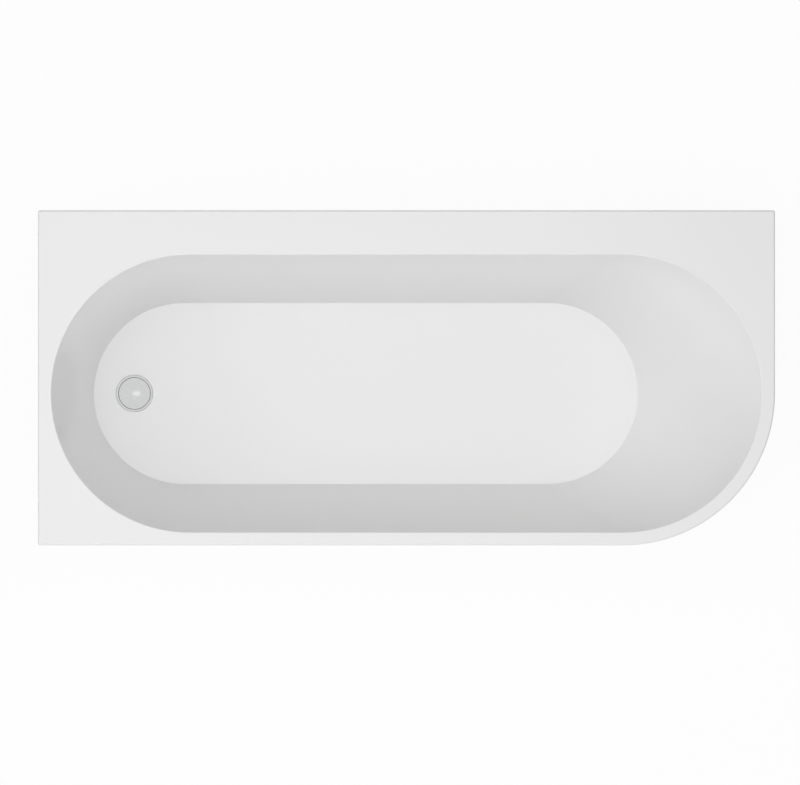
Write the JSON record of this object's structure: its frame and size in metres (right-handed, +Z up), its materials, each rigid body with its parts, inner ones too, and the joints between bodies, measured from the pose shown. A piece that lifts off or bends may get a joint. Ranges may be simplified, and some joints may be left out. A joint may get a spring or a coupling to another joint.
{
  "type": "corner bathtub",
  "caption": "J-shaped back-to-wall bath with a stadium basin, sloping back rest, curved apron panel, push-to-close waste with trap, and a frame on levelling screw feet.",
  "frame": {"origin": "on the floor, under the middle of the rim's bounding rectangle", "axes": "+X from the waste end to the back rest, +Y towards the back wall, +Z up"},
  "size_m": [1.65, 0.75, 0.58],
  "materials": {
    "white_acrylic": "high gloss, moulded",
    "glass_fibre_laminate": "rough sprayed resin and chopped glass strands",
    "plywood": "bare, sanded",
    "white_plastic": "satin, moulded",
    "coated_steel": "powder coat, fine texture",
    "zinc_plated_steel": "bright zinc plate",
    "black_nylon": "satin, moulded",
    "chrome_plate": "polished",
    "bare_brass": "turned",
    "black_rubber": "matt"
  },
  "bodies": {
    "bath": {"tub_shell": "white_acrylic", "apron_panel": "white_acrylic", "laminate_backing": "glass_fibre_laminate", "base_board": "plywood", "deck_plate_back": "plywood", "deck_plate_back_left": "plywood", "deck_plate_back_right": "plywood", "deck_plate_front_left": "plywood", "panel_lower_rib": "plywood", "panel_keeper_strip": "white_plastic", "trap_body": "white_plastic", "trap_inlet_nut": "white_plastic", "trap_outlet_nut": "white_plastic", "trap_cleaning_cap": "white_plastic", "frame_front_rail": "coated_steel", "frame_back_rail": "coated_steel", "frame_cross_left": "coated_steel", "frame_cross_middle": "coated_steel", "frame_cross_right": "coated_steel", "frame_cross_end": "coated_steel", "panel_tie_plates": "zinc_plated_steel", "tie_screws": "zinc_plated_steel", "board_screws": "zinc_plated_steel", "foot_weld_nuts": "zinc_plated_steel", "foot_lock_nuts": "zinc_plated_steel", "wall_brackets": "zinc_plated_steel", "wall_bracket_screws": "zinc_plated_steel", "click_spring": "zinc_plated_steel", "rail_end_plugs": "black_nylon", "waste_flange": "chrome_plate", "click_cartridge": "bare_brass", "waste_back_nut": "bare_brass", "waste_flange_gasket": "black_rubber", "waste_lower_gasket": "black_rubber", "trap_inlet_washer": "black_rubber", "trap_outlet_seal": "black_rubber"},
    "waste_cap": {"waste_cap": "chrome_plate", "cap_seal": "black_rubber", "click_plunger": "bare_brass"},
    "pad_front_left": {"foot_pad_front_left": "black_nylon"},
    "stem_front_left": {"foot_stem_front_left": "zinc_plated_steel"},
    "pad_front_right": {"foot_pad_front_right": "black_nylon"},
    "stem_front_right": {"foot_stem_front_right": "zinc_plated_steel"},
    "pad_back_left": {"foot_pad_back_left": "black_nylon"},
    "stem_back_left": {"foot_stem_back_left": "zinc_plated_steel"},
    "pad_back_right": {"foot_pad_back_right": "black_nylon"},
    "stem_back_right": {"foot_stem_back_right": "zinc_plated_steel"},
    "pad_centre": {"foot_pad_centre": "black_nylon"},
    "stem_centre": {"foot_stem_centre": "zinc_plated_steel"}
  },
  "joints": [
    {"name": "waste_cap_travel", "type": "slide", "parent": "bath", "child": "waste_cap", "axis": [0, 0, 1], "range_m": [0, 0.01], "deforming": ["click_spring"]},
    {"name": "foot_front_left_turn", "type": "hinge", "parent": "pad_front_left", "child": "stem_front_left", "pos_m": [-0.5375, -0.2887, 0.05], "axis": [0, 0, -1], "range_deg": [-541, 3961]},
    {"name": "foot_front_left_level", "type": "slide", "parent": "bath", "child": "pad_front_left", "axis": [0, 0, -1], "range_m": [-0.00263, 0.01925]},
    {"name": "foot_front_right_turn", "type": "hinge", "parent": "pad_front_right", "child": "stem_front_right", "pos_m": [0.52558, -0.2887, 0.05], "axis": [0, 0, -1], "range_deg": [-541, 3961]},
    {"name": "foot_front_right_level", "type": "slide", "parent": "bath", "child": "pad_front_right", "axis": [0, 0, -1], "range_m": [-0.00263, 0.01925]},
    {"name": "foot_back_left_turn", "type": "hinge", "parent": "pad_back_left", "child": "stem_back_left", "pos_m": [-0.5375, 0.2187, 0.05], "axis": [0, 0, -1], "range_deg": [-541, 3961]},
    {"name": "foot_back_left_level", "type": "slide", "parent": "bath", "child": "pad_back_left", "axis": [0, 0, -1], "range_m": [-0.00263, 0.01925]},
    {"name": "foot_back_right_turn", "type": "hinge", "parent": "pad_back_right", "child": "stem_back_right", "pos_m": [0.52558, 0.2187, 0.05], "axis": [0, 0, -1], "range_deg": [-541, 3961]},
    {"name": "foot_back_right_level", "type": "slide", "parent": "bath", "child": "pad_back_right", "axis": [0, 0, -1], "range_m": [-0.00263, 0.01925]},
    {"name": "foot_centre_turn", "type": "hinge", "parent": "pad_centre", "child": "stem_centre", "pos_m": [-0.0595, -0.035, 0.05], "axis": [0, 0, -1], "range_deg": [-541, 3961]},
    {"name": "foot_centre_level", "type": "slide", "parent": "bath", "child": "pad_centre", "axis": [0, 0, -1], "range_m": [-0.00263, 0.01925]}
  ],
  "couplings": [
    {"joint": "foot_front_left_turn", "follows": "foot_front_left_level", "rad_per_m": 3590.4},
    {"joint": "foot_front_right_turn", "follows": "foot_front_right_level", "rad_per_m": 3590.4},
    {"joint": "foot_back_left_turn", "follows": "foot_back_left_level", "rad_per_m": 3590.4},
    {"joint": "foot_back_right_turn", "follows": "foot_back_right_level", "rad_per_m": 3590.4},
    {"joint": "foot_centre_turn", "follows": "foot_centre_level", "rad_per_m": 3590.4}
  ]
}
